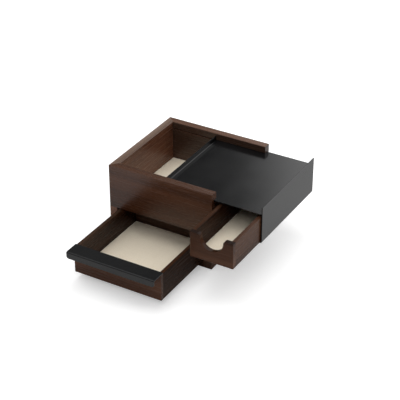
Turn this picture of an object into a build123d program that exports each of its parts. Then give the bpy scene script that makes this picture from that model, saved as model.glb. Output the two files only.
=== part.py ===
from build123d import *
import os

# A small walnut jewellery box with a sliding metal lid and two drawers.
# Millimetres. X runs right along the front, Y towards the back, Z up.
# The origin is the centre of the case's footprint, on the surface it stands on.
# The pieces are made where they stand at rest: the lid slid out to the right,
# its small drawer pulled forward, and the lower drawer pulled forward.

# The case
CASE_WIDTH = 146.0
CASE_DEPTH = 146.0
CASE_HEIGHT = 106.0
WALL = 10.2                  # thickness of the standing boards
BASE_THICKNESS = 9.0
FRONT_OPENING_TOP = 47.2     # lower edge of the upper front board
SHELF_THICKNESS = 5.0        # floor between the lower drawer and the upper part
DIVIDER_THICKNESS = 5.0
DIVIDER_SIDE_PLAY = 1.5      # divider to the grooves of the lid's shelf
DIVIDER_PLAY = 0.6           # divider to the lid's plate above it
EASING = 0.5                 # taken off the sharp edges of the wood
DOWEL_RADIUS = 2.5
DOWEL_LENGTH = 10.0
DOWEL_GLUE_GAP = 0.05
BASE_DOWEL_SPACING = 50.0

# The linen linings
LINING_THICKNESS = 1.2
LINING_PLAY = 0.3            # gap round a lining

# The sliding lid, folded from sheet steel
SHEET = 1.2
BEND_RADIUS = 0.8            # inside radius of a fold
FOLD_FLAT = 0.5              # flat width beside a short fold
LID_OPEN = 63.8              # how far the lid stands out at rest
LID_DROP = 9.0               # rim of the case to the top of the plate
GROOVE_DEPTH = 5.8
GROOVE_PLAY = 0.3            # gap round a sheet's edge in its groove
LID_LIP_HEIGHT = 5.8         # upturned left edge, above the plate
CHANNEL_RISE = 4.7           # case's middle shelf to the lid's own shelf above it
PANEL_PLAY = 0.4             # end panel to the board under it
CLOSED_PLAY = 0.3            # closed lid to the case, at both ends
CHANNEL_LIP_HEIGHT = 6.0     # upturned left edge of the shelf under the small drawer
STOP_TAB_WIDTH = 12.0
STOP_TAB_HEIGHT = 6.0
STOP_TAB_INSET = 0.6         # tab to the back end of the folded edges
STOP_PLAY = 0.3              # tab to the pushed-in small drawer
HOLD_DOWN_HEIGHT = 3.0       # strips under the plate, above the small drawer's sides
HOLD_DOWN_PLAY = 0.4         # strips to the small drawer's sides

# The small drawer, carried by the lid
SMALL_WIDTH = 57.0
SMALL_FRONT = 6.2            # thickness of its front
SMALL_WALL = 5.0
SMALL_PULLED = 73.2          # how far it is pulled out at rest
SMALL_SIDE_PLAY = 0.9
SMALL_END_PLAY = 0.6         # pushed in, its front to the upper front board
SCOOP_RADIUS = 15.2          # finger scoop in the top of its front
SCOOP_SHOULDER = 3.7         # radius of the scoop's rounded shoulders

# The lower drawer
LOWER_WALL = 5.0
LOWER_PULLED = 98.0          # how far it is pulled out at rest
LOWER_SIDE_PLAY = 1.8
LOWER_END_PLAY = 0.8         # pushed in, its back to the back board
DRAWER_BOTTOM = 2.5          # thickness of both drawers' bottoms
DRAWER_PLAY = 0.3            # underside of a drawer to what it slides on

# The lower drawer's handle, folded from sheet steel
HANDLE_REACH = 15.2          # how far it stands out from the drawer's front
HANDLE_DROP = 9.0            # height of its front flange
HANDLE_PLAY = 0.5            # handle to the upper front board that it passes under
HANDLE_CORNER = 3.0
PIN_RADIUS = 1.2
PIN_LENGTH = 14.0
PIN_SPACING = 80.0
PIN_GAP = 0.05

# The case's faces and heights
case_left = -CASE_WIDTH / 2
case_right = CASE_WIDTH / 2
case_front = -CASE_DEPTH / 2
case_back = CASE_DEPTH / 2
inner_left = case_left + WALL
inner_right = case_right - WALL
inner_front = case_front + WALL
inner_back = case_back - WALL
shelf_top = FRONT_OPENING_TOP + SHELF_THICKNESS

# The lid's faces and heights
plate_top = CASE_HEIGHT - LID_DROP
plate_bottom = plate_top - SHEET
panel_bottom = shelf_top + CHANNEL_RISE
channel_floor = panel_bottom + SHEET
right_board_top = panel_bottom - PANEL_PLAY
fold_room = SHEET + BEND_RADIUS + FOLD_FLAT
lid_left = inner_left + CLOSED_PLAY + LID_OPEN
panel_inner = case_right + CLOSED_PLAY + LID_OPEN
sheet_front = inner_front - GROOVE_DEPTH + GROOVE_PLAY
sheet_back = inner_back + GROOVE_DEPTH - GROOVE_PLAY
between_front = inner_front + GROOVE_PLAY
between_back = inner_back - GROOVE_PLAY
tab_back = between_back - STOP_TAB_INSET
tab_front = tab_back - SHEET

# The small drawer's faces and heights
small_right = panel_inner - SMALL_SIDE_PLAY
small_left = small_right - SMALL_WIDTH
small_middle = (small_left + small_right) / 2
small_bottom = channel_floor + DRAWER_PLAY
small_top = plate_bottom - HOLD_DOWN_HEIGHT - HOLD_DOWN_PLAY
small_front = inner_front + SMALL_END_PLAY - SMALL_PULLED
small_back = tab_front - STOP_PLAY - SMALL_PULLED
channel_left = small_left - SMALL_SIDE_PLAY - SHEET

# Where the case leaves room for the pushed-in lid and its shelf
shelf_grooves_left = channel_left - LID_OPEN - CLOSED_PLAY
divider_right = shelf_grooves_left - DIVIDER_SIDE_PLAY
divider_left = divider_right - DIVIDER_THICKNESS

# The lower drawer's faces and heights
lower_left = inner_left + LOWER_SIDE_PLAY
lower_right = inner_right - LOWER_SIDE_PLAY
lower_bottom = BASE_THICKNESS + DRAWER_PLAY
lower_top = FRONT_OPENING_TOP - HANDLE_PLAY - SHEET
lower_front = case_front - LOWER_PULLED
lower_back = inner_back - LOWER_END_PLAY - LOWER_PULLED


def block(x0, x1, y0, y1, z0, z1):
    """A box between two corners."""
    size = Box(x1 - x0, y1 - y0, z1 - z0)
    return Pos((x0 + x1) / 2, (y0 + y1) / 2, (z0 + z1) / 2) * size


def mitre_waste(corner, beside, inner, z0):
    """The upright three-sided prism that a mitre takes off a board, from z0 up."""
    outline = make_face(Polyline(corner, beside, inner, close=True))
    return Pos(0, 0, z0) * extrude(outline, CASE_HEIGHT - z0)


def eased_top(board, axis):
    """A board with its two upper edges along an axis eased."""
    return chamfer(board.edges().filter_by(axis).group_by(Axis.Z)[-1], EASING)


def eased_front(board):
    """A drawer's front with the edges of its outer face eased."""
    return chamfer(board.faces().sort_by(Axis.Y)[0].edges(), EASING)


def grooves(y_deep, y_face):
    """The two slots that the lid's sheets run in, from their bottom to the board's face."""
    plate_run = (inner_left, plate_bottom, plate_top)
    shelf_run = (shelf_grooves_left, panel_bottom, channel_floor)
    slots = []
    for x0, z0, z1 in (plate_run, shelf_run):
        slots.append(block(x0, case_right, y_deep, y_face, z0 - GROOVE_PLAY, z1 + GROOVE_PLAY))
    return slots


def case_rods(radius):
    """The case's dowels, or the holes for them, half on each side of a joint."""
    rod = Cylinder(radius, DOWEL_LENGTH)
    corner = Pos(inner_right + WALL / 2, case_front + WALL / 2, FRONT_OPENING_TOP)
    rods = [corner * rod]
    for x in (inner_left, inner_right):
        for y in (-BASE_DOWEL_SPACING, 0, BASE_DOWEL_SPACING):
            rods.append(Pos(x, y, BASE_THICKNESS / 2) * Rot(0, 90, 0) * rod)
    return rods


def drilled(board):
    """A board of the case with its dowel holes."""
    return board - case_rods(DOWEL_RADIUS + DOWEL_GLUE_GAP)


def left_side_panel():
    board = block(case_left, inner_left, case_front, case_back, 0, CASE_HEIGHT)
    front_corner = ((case_left, case_front), (inner_left, case_front), (inner_left, inner_front))
    back_corner = ((case_left, case_back), (inner_left, case_back), (inner_left, inner_back))
    board -= mitre_waste(*front_corner, FRONT_OPENING_TOP)
    board -= mitre_waste(*back_corner, 0)
    return drilled(eased_top(board, Axis.Y))


def back_panel():
    board = block(case_left, case_right, inner_back, case_back, 0, CASE_HEIGHT)
    board -= mitre_waste((case_left, case_back), (case_left, inner_back), (inner_left, inner_back), 0)
    return eased_top(board, Axis.X) - grooves(inner_back, inner_back + GROOVE_DEPTH)


def upper_front_panel():
    board = block(case_left, case_right, case_front, inner_front, FRONT_OPENING_TOP, CASE_HEIGHT)
    corner = ((case_left, case_front), (case_left, inner_front), (inner_left, inner_front))
    board -= mitre_waste(*corner, FRONT_OPENING_TOP)
    board = eased_top(board, Axis.X) - grooves(inner_front - GROOVE_DEPTH, inner_front)
    return drilled(board)


def lower_right_panel():
    """It stands beside the drawer. Its front end carries the upper front board."""
    board = block(inner_right, case_right, case_front, inner_back, 0, FRONT_OPENING_TOP)
    board += block(inner_right, case_right, inner_front, inner_back, FRONT_OPENING_TOP, right_board_top)
    return drilled(board)


def base_panel():
    return drilled(block(inner_left, inner_right, case_front, inner_back, 0, BASE_THICKNESS))


def middle_shelf():
    return block(inner_left, inner_right, inner_front, inner_back, FRONT_OPENING_TOP, shelf_top)


def compartment_divider():
    top = plate_bottom - DIVIDER_PLAY
    return block(divider_left, divider_right, inner_front, inner_back, shelf_top, top)


def case_dowels():
    return Part() + case_rods(DOWEL_RADIUS)


def lining(x0, x1, y0, y1, floor):
    """A linen lining on a floor, a little smaller than the space between four walls."""
    p = LINING_PLAY
    return block(x0 + p, x1 - p, y0 + p, y1 - p, floor, floor + LINING_THICKNESS)


def compartment_lining():
    return lining(inner_left, divider_left, inner_front, inner_back, shelf_top)


def folded(sheet, outer, inner):
    """Rounds one fold along Y, at its outer and its inner edge."""
    sheet = fillet(sheet.edges().filter_by(Axis.Y).sort_by_distance(outer)[0], BEND_RADIUS + SHEET)
    return fillet(sheet.edges().filter_by(Axis.Y).sort_by_distance(inner)[0], BEND_RADIUS)


def upturned_edge(x, z, height):
    """A narrow strip whose left edge is folded up. It lies between the case's walls."""
    strip = block(x, x + fold_room, between_front, between_back, z, z + SHEET)
    strip += block(x, x + SHEET, between_front, between_back, z, z + SHEET + height)
    return folded(strip, (x, 0, z), (x + SHEET, 0, z + SHEET))


def lid_plate():
    plate = block(lid_left + fold_room, panel_inner, sheet_front, sheet_back, plate_bottom, plate_top)
    return plate + upturned_edge(lid_left, plate_bottom, LID_LIP_HEIGHT)


def lid_end_panel():
    """The upright right end, with the shelf under the small drawer folded from it."""
    panel_outer = panel_inner + SHEET
    shelf_left = channel_left + fold_room
    panel = block(panel_inner, panel_outer, sheet_front, sheet_back, panel_bottom, CASE_HEIGHT)
    panel += block(shelf_left, panel_outer, sheet_front, sheet_back, panel_bottom, channel_floor)
    panel = folded(panel, (panel_outer, 0, panel_bottom), (panel_inner, 0, channel_floor))
    panel += upturned_edge(channel_left, panel_bottom, CHANNEL_LIP_HEIGHT)
    tab_left = small_middle - STOP_TAB_WIDTH / 2
    tab_top = channel_floor + STOP_TAB_HEIGHT
    tab = block(tab_left, tab_left + STOP_TAB_WIDTH, tab_front, tab_back, channel_floor, tab_top)
    return panel + tab


def hold_down_strips():
    """Two strips under the plate that keep the pulled-out small drawer level."""
    strips = Part()
    z0 = plate_bottom - HOLD_DOWN_HEIGHT
    for x0 in (small_left, small_right - SMALL_WALL):
        strips += block(x0, x0 + SMALL_WALL, between_front, between_back, z0, plate_bottom)
    return strips


def scoop():
    """The finger scoop: a half circle that opens upwards with rounded shoulders."""
    half = SCOOP_RADIUS + SCOOP_SHOULDER
    left_shoulder = CenterArc((-half, -SCOOP_SHOULDER), SCOOP_SHOULDER, 0, 90)
    bowl = CenterArc((0, -SCOOP_SHOULDER), SCOOP_RADIUS, 180, 180)
    right_shoulder = CenterArc((half, -SCOOP_SHOULDER), SCOOP_SHOULDER, 90, 90)
    rise = Polyline((-half, 0), (-half, SCOOP_SHOULDER), (half, SCOOP_SHOULDER), (half, 0))
    outline = make_face(left_shoulder + bowl + right_shoulder + rise)
    upright = Plane((small_middle, small_front, small_top), x_dir=(1, 0, 0), z_dir=(0, -1, 0))
    return extrude(upright * outline, SMALL_FRONT, both=True)


def small_drawer_front():
    y1 = small_front + SMALL_FRONT
    board = block(small_left, small_right, small_front, y1, small_bottom, small_top)
    return eased_front(board - scoop())


def small_drawer_side(x0):
    y0 = small_front + SMALL_FRONT
    return eased_top(block(x0, x0 + SMALL_WALL, y0, small_back, small_bottom, small_top), Axis.Y)


def small_drawer_back():
    x0 = small_left + SMALL_WALL
    x1 = small_right - SMALL_WALL
    return block(x0, x1, small_back - SMALL_WALL, small_back, small_bottom, small_top)


def small_drawer_inside():
    """The plan of the small drawer's inside: two X values and two Y values."""
    x0 = small_left + SMALL_WALL
    x1 = small_right - SMALL_WALL
    return x0, x1, small_front + SMALL_FRONT, small_back - SMALL_WALL


def small_drawer_bottom():
    return block(*small_drawer_inside(), small_bottom, small_bottom + DRAWER_BOTTOM)


def small_drawer_lining():
    return lining(*small_drawer_inside(), small_bottom + DRAWER_BOTTOM)


def handle_pins(radius):
    """The handle's pins, or the holes for them, in the top edge of the drawer's front."""
    y = lower_front + LOWER_WALL / 2
    pins = []
    for x in (-PIN_SPACING / 2, PIN_SPACING / 2):
        pins.append(Pos(x, y, lower_top - PIN_LENGTH / 2) * Cylinder(radius, PIN_LENGTH))
    return pins


def lower_drawer_front():
    y1 = lower_front + LOWER_WALL
    board = block(lower_left, lower_right, lower_front, y1, lower_bottom, lower_top)
    return eased_front(board) - handle_pins(PIN_RADIUS + PIN_GAP)


def lower_drawer_side(x0):
    y0 = lower_front + LOWER_WALL
    return eased_top(block(x0, x0 + LOWER_WALL, y0, lower_back, lower_bottom, lower_top), Axis.Y)


def lower_drawer_back():
    x0 = lower_left + LOWER_WALL
    x1 = lower_right - LOWER_WALL
    return block(x0, x1, lower_back - LOWER_WALL, lower_back, lower_bottom, lower_top)


def lower_drawer_inside():
    """The plan of the lower drawer's inside: two X values and two Y values."""
    x0 = lower_left + LOWER_WALL
    x1 = lower_right - LOWER_WALL
    return x0, x1, lower_front + LOWER_WALL, lower_back - LOWER_WALL


def lower_drawer_bottom():
    return block(*lower_drawer_inside(), lower_bottom, lower_bottom + DRAWER_BOTTOM)


def lower_drawer_lining():
    return lining(*lower_drawer_inside(), lower_bottom + DRAWER_BOTTOM)


def lower_drawer_handle():
    """A flat top over the drawer's front, with a flange that hangs in front as a grip."""
    y0 = lower_front - HANDLE_REACH
    y1 = lower_front + LOWER_WALL
    top = lower_top + SHEET
    handle = block(lower_left, lower_right, y0, y1, lower_top, top)
    flange = block(lower_left, lower_right, y0, y0 + SHEET, top - HANDLE_DROP, top)
    flange = fillet(flange.edges().filter_by(Axis.Y).group_by(Axis.Z)[0], HANDLE_CORNER)
    handle += flange
    outer = handle.edges().filter_by(Axis.X).sort_by_distance((0, y0, top))[0]
    handle = fillet(outer, BEND_RADIUS + SHEET)
    inner = handle.edges().filter_by(Axis.X).sort_by_distance((0, y0 + SHEET, lower_top))[0]
    return fillet(inner, BEND_RADIUS)


def lower_drawer_pins():
    return Part() + handle_pins(PIN_RADIUS)


nodes = {
    "left_side_panel": left_side_panel(),
    "back_panel": back_panel(),
    "upper_front_panel": upper_front_panel(),
    "lower_right_panel": lower_right_panel(),
    "base_panel": base_panel(),
    "middle_shelf": middle_shelf(),
    "compartment_divider": compartment_divider(),
    "compartment_lining": compartment_lining(),
    "case_dowels": case_dowels(),
    "lid_plate": lid_plate(),
    "lid_end_panel": lid_end_panel(),
    "lid_hold_down_strips": hold_down_strips(),
    "small_drawer_front": small_drawer_front(),
    "small_drawer_left_side": small_drawer_side(small_left),
    "small_drawer_right_side": small_drawer_side(small_right - SMALL_WALL),
    "small_drawer_back": small_drawer_back(),
    "small_drawer_bottom": small_drawer_bottom(),
    "small_drawer_lining": small_drawer_lining(),
    "lower_drawer_front": lower_drawer_front(),
    "lower_drawer_left_side": lower_drawer_side(lower_left),
    "lower_drawer_right_side": lower_drawer_side(lower_right - LOWER_WALL),
    "lower_drawer_back": lower_drawer_back(),
    "lower_drawer_bottom": lower_drawer_bottom(),
    "lower_drawer_lining": lower_drawer_lining(),
    "lower_drawer_handle": lower_drawer_handle(),
    "lower_drawer_handle_pins": lower_drawer_pins(),
}

os.makedirs("parts", exist_ok=True)
for name, shape in nodes.items():
    export_step(shape, f"parts/{name}.step")
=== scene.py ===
import bpy
import math
from mathutils import Matrix, Vector


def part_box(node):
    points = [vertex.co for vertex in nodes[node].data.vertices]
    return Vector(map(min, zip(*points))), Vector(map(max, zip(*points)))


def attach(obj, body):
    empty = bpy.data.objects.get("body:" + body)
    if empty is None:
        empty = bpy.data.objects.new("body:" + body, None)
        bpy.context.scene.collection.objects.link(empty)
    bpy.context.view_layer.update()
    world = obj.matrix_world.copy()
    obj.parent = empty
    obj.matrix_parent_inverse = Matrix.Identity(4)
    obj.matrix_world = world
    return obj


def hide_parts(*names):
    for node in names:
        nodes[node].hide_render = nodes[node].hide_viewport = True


# The looks of a small walnut jewellery box with a sliding metal lid and two drawers.
# Everything is in metres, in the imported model's frame, and colours are linear.

# The camera, fitted to the photograph's frame
CAMERA_AZIMUTH = 30.06        # degrees to the right of the front
CAMERA_ELEVATION = 31.38
CAMERA_DISTANCE = 1.6945
CAMERA_RIGHT = 0.01257        # sideways and upward shift of the camera's axis
CAMERA_UP = 0.03320
FRAME_PIXELS = 400
FOCAL_PIXELS = 1315.9
SENSOR_MM = 36.0

# Each board: the seed of its figure, the grain's axis, the tint of its faces, the tint of its top edge
# and its gloss.
# Both tints are partly the board's own tone and partly painted light, sheen and shade: faces and top
# edges in light are made paler or greyer, those in shade darker
BOARDS = {
    "left_side_panel": (1, "Y", (1.50, 1.50, 1.60), (1.62, 2.55, 3.70), 0.26),
    "back_panel": (2, "X", (0.54, 0.67, 0.84), (1.18, 1.34, 1.55), 0.30),
    "upper_front_panel": (52, "X", (0.82, 0.69, 0.57), (0.60, 0.53, 0.43), 0.44),
    "lower_right_panel": (4, "Y", (0.60, 0.60, 0.60), (0.60, 0.60, 0.60), 0.25),
    "base_panel": (5, "X", (0.70, 0.70, 0.70), (0.70, 0.70, 0.70), 0.25),
    "middle_shelf": (6, "X", (0.80, 0.80, 0.80), (0.80, 0.80, 0.80), 0.25),
    "compartment_divider": (7, "Y", (0.95, 0.95, 0.95), (0.95, 0.95, 0.95), 0.25),
    "small_drawer_front": (30, "X", (0.84, 0.88, 0.94), (0.30, 0.30, 0.29), 0.10),
    "small_drawer_left_side": (9, "Y", (0.26, 0.21, 0.18), (0.46, 0.48, 0.50), 0.04),
    "small_drawer_right_side": (10, "Y", (0.60, 0.56, 0.50), (0.50, 0.50, 0.50), 0.10),
    "small_drawer_back": (11, "X", (0.60, 0.60, 0.60), (0.60, 0.60, 0.60), 0.25),
    "small_drawer_bottom": (12, "Y", (0.80, 0.80, 0.80), (0.80, 0.80, 0.80), 0.25),
    "lower_drawer_front": (13, "X", (0.80, 0.69, 0.58), (0.70, 0.70, 0.70), 0.20),
    "lower_drawer_left_side": (14, "Y", (0.40, 0.36, 0.33), (0.46, 0.58, 0.70), 0.10),
    "lower_drawer_right_side": (15, "Y", (0.27, 0.29, 0.29), (0.50, 0.50, 0.50), 0.05),
    "lower_drawer_back": (16, "X", (0.60, 0.60, 0.60), (0.60, 0.60, 0.60), 0.25),
    "lower_drawer_bottom": (17, "X", (0.80, 0.80, 0.80), (0.80, 0.80, 0.80), 0.25),
}

# Boards whose end grain gets painted shade, darker than their faces, and its share of the faces'
# brightness
END_PAINTED_SHADE = {"lower_drawer_front": 0.58}

# Each lining, the board that it lies on and its body
LININGS = {
    "compartment_lining": ("middle_shelf", "case"),
    "small_drawer_lining": ("small_drawer_bottom", "small_drawer"),
    "lower_drawer_lining": ("lower_drawer_bottom", "lower_drawer"),
}

# The nodes of folded sheet metal
METAL = ("lid_plate", "lid_end_panel", "lower_drawer_handle")

# What several finishes share
EDGE_WIDTH = 0.0005           # width over which the edges of wood and metal are paler: wear and a painted highlight
WAVE_SCALE = math.tau / 20    # scale of a wave texture whose waves are a metre long

# Walnut
RING_SPACING = 0.0065
PITH_DISTANCE = 0.055         # from a board to the tree's middle
PITH_TILT = math.radians(3.0)
GRAIN_SCALE = 0.05            # scale of the figure along the grain, where it is 1 across the grain
PORE_DEPTH = 0.00006
WALNUT_DARK = (0.040, 0.0150, 0.0075)
WALNUT_MIDDLE = (0.098, 0.0410, 0.0210)
WALNUT_PALE = (0.160, 0.0740, 0.0410)
WALNUT_EDGE = (0.220, 0.1500, 0.1100)

# Black powder coat
COAT_DARK = (0.0045, 0.0046, 0.0048)
COAT_MIDDLE = (0.0065, 0.0066, 0.0069)
COAT_GRIT = (0.012, 0.012, 0.013)
COAT_EDGE = (0.030, 0.030, 0.032)
GRIT_DEPTH = 0.00002

# Linen
THREAD_PITCH = 0.0007
THREAD_DEPTH = 0.00018
LINEN_PALE = (0.970, 0.870, 0.700)
LINEN_DARK_AND_PAINTED_SHADE = (0.820, 0.720, 0.560)
LINEN_CELL = 0.002            # size of the lining's mesh cells
LINEN_EDGE = 0.0006           # radius of the wrapped edge
LINEN_EDGE_STEPS = 4          # mesh cells round the wrapped edge
LINEN_RIPPLE = 0.00012        # height of the ripples
FINE_RIPPLE = 0.6             # height of the fine ripple beside the broad one's

# Finishes of the pieces inside
BEECH_DARK = (0.40, 0.25, 0.13)
BEECH_PALE = (0.52, 0.35, 0.20)
BEECH_FLECK = (0.26, 0.14, 0.07)
NYLON_DARK = (0.008, 0.008, 0.008)
NYLON_PALE = (0.016, 0.016, 0.016)
WIRE_DARK = (0.42, 0.42, 0.43)
WIRE_PALE = (0.62, 0.62, 0.63)

# Light: soft boxes in the surroundings, as brightness, then degrees to the left of the back,
# degrees up and the softness of the edges
SOFT_BOXES = (
    (1.74, (-75, 26.3), (-10, 55), 3),
    (0.17, (32, 62), (10, 62), 4),
    (1.00, (62, 132), (18, 60), 8),
    (3.00, (0, 200), (64, 120), 8),
    (1.20, (-200, 0), (60, 120), 12),
    (0.85, (132, 200), (36, 52), 8),
    (2.10, (-200, -110), (34, 60), 8),
)
FLOOR_COLOUR = 0.70
FLOOR_GLOW = 0.38             # what the camera sees of the white floor in full shadow
FLOOR_LIT = 0.86              # and what the light adds to it
FLOOR_SIZE = 8.0
FLOOR_GAP = 0.0002            # keeps the floor clear of the box's underside
BLACK = (0.0, 0.0, 0.0)
WHITE = (1.0, 1.0, 1.0)

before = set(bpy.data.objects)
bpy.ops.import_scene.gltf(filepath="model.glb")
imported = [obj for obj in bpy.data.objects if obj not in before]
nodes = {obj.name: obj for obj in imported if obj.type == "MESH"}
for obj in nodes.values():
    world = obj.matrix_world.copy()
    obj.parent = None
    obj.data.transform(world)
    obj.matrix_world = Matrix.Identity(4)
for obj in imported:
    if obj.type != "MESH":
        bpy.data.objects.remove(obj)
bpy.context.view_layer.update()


class Graph:
    """The node tree of a material or world, with short ways to add what the finishes need."""

    def __init__(self, owner):
        owner.use_nodes = True
        self.tree = owner.node_tree
        coordinates = self.tree.nodes.new("ShaderNodeTexCoord")
        self.own_place = coordinates.outputs["Object"]
        self.direction = coordinates.outputs["Generated"]

    def put(self, value, socket):
        """Links an output to a socket, or sets the socket to a plain value."""
        if isinstance(value, bpy.types.NodeSocket):
            self.tree.links.new(value, socket)
        elif isinstance(value, tuple) and socket.type == "RGBA":
            socket.default_value = (*value, 1.0)
        else:
            socket.default_value = value

    def node(self, kind, settings=None, inputs=None):
        made = self.tree.nodes.new(kind)
        for name, value in (settings or {}).items():
            setattr(made, name, value)
        for name, value in (inputs or {}).items():
            self.put(value, made.inputs[name])
        return made

    def moved(self, vector, shift=(0, 0, 0), turn=(0, 0, 0), scale=(1, 1, 1)):
        inputs = {"Vector": vector, "Location": shift, "Rotation": turn, "Scale": scale}
        return self.node("ShaderNodeMapping", {}, inputs).outputs["Vector"]

    def noise(self, vector, scale, detail=2.0, roughness=0.5):
        inputs = {"Vector": vector, "Scale": scale, "Detail": detail, "Roughness": roughness}
        return self.node("ShaderNodeTexNoise", {}, inputs).outputs["Fac"]

    def range(self, value, low, high, new_low=0.0, new_high=1.0):
        """Turns low to high into new_low to new_high, and holds the value at these outside."""
        inputs = {"Value": value, "From Min": low, "From Max": high}
        inputs.update({"To Min": new_low, "To Max": new_high})
        return self.node("ShaderNodeMapRange", {}, inputs).outputs["Result"]

    def maths(self, operation, a, b=0.0):
        made = self.node("ShaderNodeMath", {"operation": operation})
        self.put(a, made.inputs[0])
        self.put(b, made.inputs[1])
        return made.outputs[0]

    def mix(self, factor, a, b, blend="MIX"):
        made = self.node("ShaderNodeMix", {"data_type": "RGBA", "blend_type": blend})
        self.put(factor, made.inputs["Factor"])
        self.put(a, made.inputs["A"])
        self.put(b, made.inputs["B"])
        return made.outputs["Result"]

    def mix_values(self, factor, a, b):
        made = self.node("ShaderNodeMix", {"data_type": "FLOAT"})
        self.put(factor, made.inputs["Factor"])
        self.put(a, made.inputs["A"])
        self.put(b, made.inputs["B"])
        return made.outputs["Result"]

    def ramp(self, value, stops):
        made = self.node("ShaderNodeValToRGB", {}, {"Fac": value})
        elements = made.color_ramp.elements
        while len(elements) < len(stops):
            elements.new(0.5)
        for element, (position, colour) in zip(elements, stops):
            element.position = position
            element.color = (*colour, 1.0)
        return made.outputs["Color"]

    def edge(self):
        """1 on the piece's sharp edges and 0 on its flat faces."""
        rounded = self.node("ShaderNodeBevel", {"samples": 4}, {"Radius": EDGE_WIDTH})
        flat = self.node("ShaderNodeNewGeometry").outputs["Normal"]
        dot = self.node("ShaderNodeVectorMath", {"operation": "DOT_PRODUCT"})
        self.put(rounded.outputs["Normal"], dot.inputs[0])
        self.put(flat, dot.inputs[1])
        return self.range(dot.outputs["Value"], 0.995, 0.85)

    def normal_along(self, axis):
        normal = self.node("ShaderNodeNewGeometry").outputs["Normal"]
        return self.node("ShaderNodeSeparateXYZ", {}, {"Vector": normal}).outputs[axis]

    def upward(self):
        """1 on the piece's level upper faces and 0 elsewhere."""
        return self.range(self.normal_along("Z"), 0.5, 0.9)

    def square_to(self, axis):
        """1 on the piece's faces at both ends of an axis and 0 elsewhere."""
        return self.range(self.maths("ABSOLUTE", self.normal_along(axis)), 0.5, 0.9)

    def bump(self, height, depth, strength):
        """Bump from a height of 0 to 1 that stands for a real depth in metres."""
        inputs = {"Height": height, "Distance": depth, "Strength": strength}
        return self.node("ShaderNodeBump", {}, inputs).outputs["Normal"]


class Finish(Graph):
    """A material with one main shader."""

    def __init__(self, name):
        self.material = bpy.data.materials.new(name)
        super().__init__(self.material)
        self.shader = self.tree.nodes["Principled BSDF"]

    def set(self, name, value):
        """Gives an input of the main shader a plain value or links it."""
        self.put(value, self.shader.inputs[name])


def walnut(name, seed, axis, tint, top_painted_light, gloss, end_painted_shade):
    """Dark walnut, grain along one axis: growth rings, streaks, open pores, paler edges that are partly
    wear and partly a painted highlight, and the painted light and shade of the board's tints.
    """
    g = Finish(name)
    along = "XYZ".index(axis)
    place = g.moved(g.own_place, shift=(0.37 * seed, 0.23 * seed, 0.41 * seed))

    def drawn_out(times):
        """The board's place for a figure that is longer along the grain."""
        scale = [float(times)] * 3
        scale[along] = times * GRAIN_SCALE
        return g.moved(place, scale=tuple(scale))

    # Growth rings round a tilted line behind the board, with slow wavers
    shift = [PITH_DISTANCE] * 3
    shift[along] = 0.0
    turn = [PITH_TILT] * 3
    turn[along] = 0.0
    waver = g.noise(drawn_out(3), scale=34.0)
    pith = g.moved(g.own_place, shift=tuple(shift), turn=tuple(turn))
    settings = {"wave_type": "RINGS", "rings_direction": axis, "wave_profile": "SAW"}
    inputs = {"Vector": pith, "Scale": WAVE_SCALE / RING_SPACING, "Distortion": 3.0}
    inputs.update({"Detail": 2.0, "Detail Scale": 0.35, "Detail Roughness": 0.5})
    inputs["Phase Offset"] = g.maths("MULTIPLY", waver, 26.0)
    rings = g.node("ShaderNodeTexWave", settings, inputs).outputs["Fac"]

    # The rest of the figure, from the broadest to the finest
    bands = g.noise(drawn_out(1.6), scale=38.0, roughness=0.4)
    patches = g.noise(drawn_out(4), scale=16.0)
    streaks = g.noise(drawn_out(1), scale=520.0, detail=3.0, roughness=0.6)
    fibres = g.noise(drawn_out(0.4), scale=5200.0)
    pores = g.range(g.noise(drawn_out(1), scale=2600.0, detail=1.0), 0.60, 0.70)

    # Colour
    figure = g.mix_values(0.60, rings, g.range(streaks, 0.1, 0.9))
    figure = g.mix_values(0.85, figure, g.range(bands, 0.2, 0.8))
    figure = g.mix_values(0.22, figure, g.range(patches, 0.3, 0.7))
    colour = g.ramp(figure, [(0.15, WALNUT_DARK), (0.50, WALNUT_MIDDLE), (0.88, WALNUT_PALE)])
    colour = g.mix(g.range(fibres, 0.3, 0.7, 0.0, 0.16), colour, WALNUT_DARK)
    colour = g.mix(g.maths("MULTIPLY", pores, 0.22), colour, WALNUT_DARK)
    edge = g.edge()
    # Paler edges: partly wear and partly a painted highlight
    colour = g.mix(g.maths("MULTIPLY", edge, 0.05), colour, WALNUT_EDGE)
    # Painted light, sheen and shade: each board's tint, and the tint of its top faces, beside the
    # board's own tone
    colour = g.mix(1.0, colour, g.mix(g.upward(), tint, top_painted_light), "MULTIPLY")
    # Painted shade on the end grain
    if end_painted_shade < 1.0:
        colour = g.mix(1.0, colour, g.mix_values(g.square_to(axis), 1.0, end_painted_shade), "MULTIPLY")
    g.set("Base Color", colour)

    # Gloss and relief
    roughness = g.range(streaks, 0.3, 0.7, 0.23, 0.29)
    g.set("Roughness", g.mix_values(pores, roughness, 0.34))
    g.set("Specular IOR Level", gloss)
    relief = g.mix_values(pores, g.mix_values(0.3, 0.8, fibres), 0.0)
    g.set("Normal", g.bump(relief, PORE_DEPTH, strength=0.28))
    return g.material


def black_steel():
    """Fine black powder coat, a little paler and rougher along its edges: partly wear and partly a
    painted highlight.
    """
    g = Finish("black_steel")
    grit = g.noise(g.own_place, scale=2400.0, detail=3.0, roughness=0.6)
    cloud = g.noise(g.own_place, scale=22.0, detail=3.0)
    edge = g.edge()
    colour = g.mix(g.range(cloud, 0.3, 0.7), COAT_DARK, COAT_MIDDLE)
    colour = g.mix(g.range(grit, 0.35, 0.65, 0.0, 0.20), colour, COAT_GRIT)
    # Paler edges: partly wear and partly a painted highlight
    colour = g.mix(g.maths("MULTIPLY", edge, 0.2), colour, COAT_EDGE)
    g.set("Base Color", colour)
    roughness = g.range(cloud, 0.3, 0.7, 0.14, 0.18)
    g.set("Roughness", g.mix_values(edge, roughness, 0.26))
    g.set("Normal", g.bump(grit, GRIT_DEPTH, strength=0.3))
    return g.material


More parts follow.
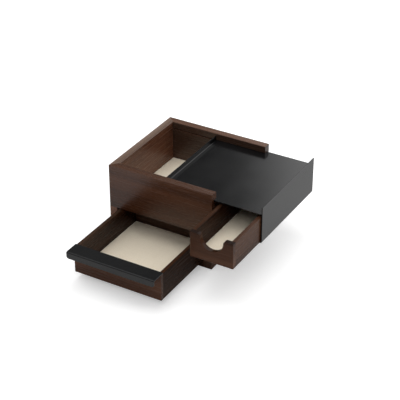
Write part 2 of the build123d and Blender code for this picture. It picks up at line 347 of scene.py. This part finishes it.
def threads(g, direction, seed):
    """The rounded tops of parallel threads, uneven in width."""
    place = g.moved(g.own_place, shift=(0.1 * seed, 0.17 * seed, 0))
    settings = {"wave_type": "BANDS", "bands_direction": direction}
    inputs = {"Vector": place, "Scale": WAVE_SCALE / THREAD_PITCH, "Distortion": 1.4}
    inputs.update({"Detail": 2.0, "Detail Scale": 0.6})
    return g.node("ShaderNodeTexWave", settings, inputs).outputs["Fac"]


def linen():
    """Cream linen in plain weave, with slubs, painted shade between the threads and a soft sheen."""
    g = Finish("linen")
    warp = threads(g, "X", 1)
    weft = threads(g, "Y", 2)
    over = g.node("ShaderNodeTexChecker", {}, {"Vector": g.own_place, "Scale": 1 / THREAD_PITCH})
    weave = g.mix_values(over.outputs["Fac"], warp, weft)
    slub_x = g.noise(g.moved(g.own_place, scale=(0.06, 1, 1)), scale=900.0)
    slub_y = g.noise(g.moved(g.own_place, scale=(1, 0.06, 1)), scale=900.0)
    slubs = g.mix_values(0.5, slub_x, slub_y)
    cloud = g.noise(g.own_place, scale=30.0, detail=3.0)
    # Darker in the hollows between the threads: painted shade. The slubs and clouds below are the
    # cloth's own darker tone.
    colour = g.mix(g.range(weave, 0.0, 0.75), LINEN_DARK_AND_PAINTED_SHADE, LINEN_PALE)
    colour = g.mix(g.range(slubs, 0.42, 0.62, 0.0, 0.35), colour, LINEN_DARK_AND_PAINTED_SHADE)
    colour = g.mix(g.range(cloud, 0.3, 0.7, 0.0, 0.12), colour, LINEN_DARK_AND_PAINTED_SHADE)
    g.set("Base Color", colour)
    g.set("Roughness", g.range(slubs, 0.3, 0.7, 0.82, 0.95))
    g.set("Sheen Weight", 0.12)
    relief = g.mix_values(0.25, weave, slubs)
    g.set("Normal", g.bump(relief, THREAD_DEPTH, strength=0.7))
    return g.material


def beech():
    """Pale turned beech with short flecks."""
    g = Finish("beech")
    flecks = g.noise(g.moved(g.own_place, scale=(1, 1, 0.15)), scale=1600.0)
    bands = g.noise(g.own_place, scale=300.0)
    colour = g.ramp(bands, [(0.3, BEECH_DARK), (0.7, BEECH_PALE)])
    colour = g.mix(g.range(flecks, 0.58, 0.68, 0.0, 0.5), colour, BEECH_FLECK)
    g.set("Base Color", colour)
    g.set("Roughness", g.range(bands, 0.3, 0.7, 0.50, 0.62))
    g.set("Normal", g.bump(flecks, depth=0.00005, strength=0.5))
    return g.material


def black_nylon():
    """Matt black nylon with a fine moulded grain."""
    g = Finish("black_nylon")
    grain = g.noise(g.own_place, scale=3000.0)
    g.set("Base Color", g.mix(grain, NYLON_DARK, NYLON_PALE))
    g.set("Roughness", g.range(grain, 0.3, 0.7, 0.50, 0.62))
    g.set("Normal", g.bump(grain, depth=0.00003, strength=0.5))
    return g.material


def bare_steel():
    """Drawn steel wire with fine lengthwise scratches."""
    g = Finish("bare_steel")
    scratches = g.noise(g.moved(g.own_place, scale=(1, 1, 0.03)), scale=9000.0)
    g.set("Base Color", g.mix(scratches, WIRE_DARK, WIRE_PALE))
    g.set("Metallic", 1.0)
    g.set("Roughness", g.range(scratches, 0.3, 0.7, 0.28, 0.42))
    g.set("Normal", g.bump(scratches, depth=0.00001, strength=0.5))
    return g.material


def finish_node(name, material):
    for slot in nodes[name].material_slots:
        slot.material = material


def lining_height(x, y, width, length):
    """Height of a lining's top below its highest level: wrapped edges and faint ripples."""
    inset = min(x, y, width - x, length - y)
    drop = 0.0
    if inset < LINEN_EDGE:
        short = LINEN_EDGE - inset
        drop = LINEN_EDGE - math.sqrt(max(LINEN_EDGE ** 2 - short ** 2, 0.0))
    broad = math.sin(61 * x + 1.3) * math.sin(47 * y + 0.7)
    fine = FINE_RIPPLE * math.sin(143 * x - 97 * y)
    most = 1.0 + FINE_RIPPLE
    return drop + LINEN_RIPPLE * (most + (broad + fine)) / (2 * most)


def stations(length):
    """Places along one side of a lining, close together at its wrapped edges."""
    cells = max(2, round((length - 2 * LINEN_EDGE) / LINEN_CELL))
    inner = [LINEN_EDGE + (length - 2 * LINEN_EDGE) * i / cells for i in range(cells + 1)]
    turns = [math.pi / 2 * i / LINEN_EDGE_STEPS for i in range(LINEN_EDGE_STEPS)]
    steps = [LINEN_EDGE * (1 - math.cos(turn)) for turn in turns]
    return steps + inner + [length - s for s in reversed(steps)]


def lining_points(low, high, xs, ys):
    """The top layer's points and then the underside's, row by row from left to right."""
    width, length = high.x - low.x, high.y - low.y
    points = []
    for top in (True, False):
        for x in xs:
            for y in ys:
                z = high.z - lining_height(x, y, width, length) if top else low.z
                points.append((low.x + x, low.y + y, z))
    return points


def lining_faces(rows, row):
    """The faces of two layers with this many rows of points each, and of the four sides between them."""
    layer = rows * row
    faces = []
    for i in range(rows - 1):
        for j in range(row - 1):
            a = i * row + j
            faces.append((a, a + row, a + row + 1, a + 1))
            faces.append((layer + a, layer + a + 1, layer + a + row + 1, layer + a + row))
    front = [i * row for i in range(rows)]
    right = [(rows - 1) * row + j for j in range(row)]
    back = [i * row + row - 1 for i in reversed(range(rows))]
    left = list(reversed(range(row)))
    for side in (front, right, back, left):
        for a, b in zip(side, side[1:]):
            faces.append((a, layer + a, layer + b, b))
    return faces


def lining(name, material):
    """A linen lining wrapped over thin card: a closed sheet with soft edges and a flat underside."""
    low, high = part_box(name)
    width, length = high.x - low.x, high.y - low.y
    xs, ys = stations(width), stations(length)
    mesh = bpy.data.meshes.new(name + "_cloth")
    mesh.from_pydata(lining_points(low, high, xs, ys), [], lining_faces(len(xs), len(ys)))
    mesh.shade_smooth()
    piece = bpy.data.objects.new(name + "_cloth", mesh)
    bpy.context.scene.collection.objects.link(piece)
    mesh.materials.append(material)
    carrier, body = LININGS[name]
    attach(piece, body)
    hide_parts(name)


def seen_by_camera(g):
    """1 for what the camera sees, straight or through glass, and 0 for light and reflections.

    Reflections are left out because the metal mirrors a dark room in the photograph.
    """
    rays = g.node("ShaderNodeLightPath").outputs
    return g.maths("MAXIMUM", rays["Is Camera Ray"], rays["Is Transmission Ray"])


def white_floor():
    """A white floor. A share of what the camera sees of it is plain white, to lighten the shadow."""
    g = Finish("floor")
    seen = seen_by_camera(g)
    shade = g.mix_values(seen, FLOOR_COLOUR, FLOOR_LIT)
    g.set("Base Color", g.mix(shade, BLACK, WHITE))
    g.set("Roughness", 0.9)
    g.set("Specular IOR Level", 0.0)
    g.set("Emission Color", WHITE)
    g.set("Emission Strength", g.maths("MULTIPLY", seen, FLOOR_GLOW))
    return g.material


def floor():
    mesh = bpy.data.meshes.new("floor")
    half = FLOOR_SIZE / 2
    corners = [(-half, -half, 0), (half, -half, 0), (half, half, 0), (-half, half, 0)]
    mesh.from_pydata(corners, [], [(0, 1, 2, 3)])
    mesh.materials.append(white_floor())
    obj = bpy.data.objects.new("floor", mesh)
    obj.location.z = -FLOOR_GAP
    bpy.context.scene.collection.objects.link(obj)


def window(g, angle, limits, softness):
    """1 between two angles and 0 outside, with soft edges."""
    low, high = (math.radians(limit) for limit in limits)
    half = math.radians(softness) / 2
    rise = g.range(angle, low - half, low + half)
    fall = g.range(angle, high - half, high + half, 1.0, 0.0)
    return g.maths("MULTIPLY", rise, fall)


def surroundings():
    """White for the camera. The object is lit by, and reflects, soft boxes in a dark room."""
    world = bpy.data.worlds.new("studio")
    bpy.context.scene.world = world
    g = Graph(world)
    parts = g.node("ShaderNodeSeparateXYZ", {}, {"Vector": g.direction}).outputs
    azimuth = g.maths("ARCTAN2", g.maths("MULTIPLY", parts["X"], -1.0), parts["Y"])
    height = g.maths("ARCSINE", parts["Z"])
    light = 0.0
    for brightness, across, upward, softness in SOFT_BOXES:
        sideways = window(g, azimuth, across, softness)
        area = g.maths("MULTIPLY", sideways, window(g, height, upward, softness))
        light = g.maths("ADD", g.maths("MULTIPLY", area, brightness), light)
    background = g.tree.nodes["Background"]
    g.put(WHITE, background.inputs["Color"])
    g.put(g.mix_values(seen_by_camera(g), light, 1.0), background.inputs["Strength"])


def camera():
    azimuth, elevation = math.radians(CAMERA_AZIMUTH), math.radians(CAMERA_ELEVATION)
    back = Vector((math.sin(azimuth) * math.cos(elevation),
                   -math.cos(azimuth) * math.cos(elevation), math.sin(elevation)))
    right = Vector((math.cos(azimuth), math.sin(azimuth), 0.0))
    up = back.cross(right)
    data = bpy.data.cameras.new("camera")
    data.sensor_fit = "HORIZONTAL"
    data.sensor_width = SENSOR_MM
    data.lens = FOCAL_PIXELS / FRAME_PIXELS * SENSOR_MM
    obj = bpy.data.objects.new("camera", data)
    place = back * CAMERA_DISTANCE + right * CAMERA_RIGHT + up * CAMERA_UP
    axes = Matrix((right, up, back)).transposed()
    obj.matrix_world = Matrix.Translation(place) @ axes.to_4x4()
    bpy.context.scene.collection.objects.link(obj)
    bpy.context.scene.camera = obj


camera()
for board, look in BOARDS.items():
    finish_node(board, walnut("walnut_" + board, *look, END_PAINTED_SHADE.get(board, 1.0)))
steel = black_steel()
for metal in METAL:
    finish_node(metal, steel)
finish_node("case_dowels", beech())
finish_node("lid_hold_down_strips", black_nylon())
finish_node("lower_drawer_handle_pins", bare_steel())
cloth = linen()
for lined in LININGS:
    lining(lined, cloth)
floor()
surroundings()
bpy.context.scene.view_settings.view_transform = "Standard"
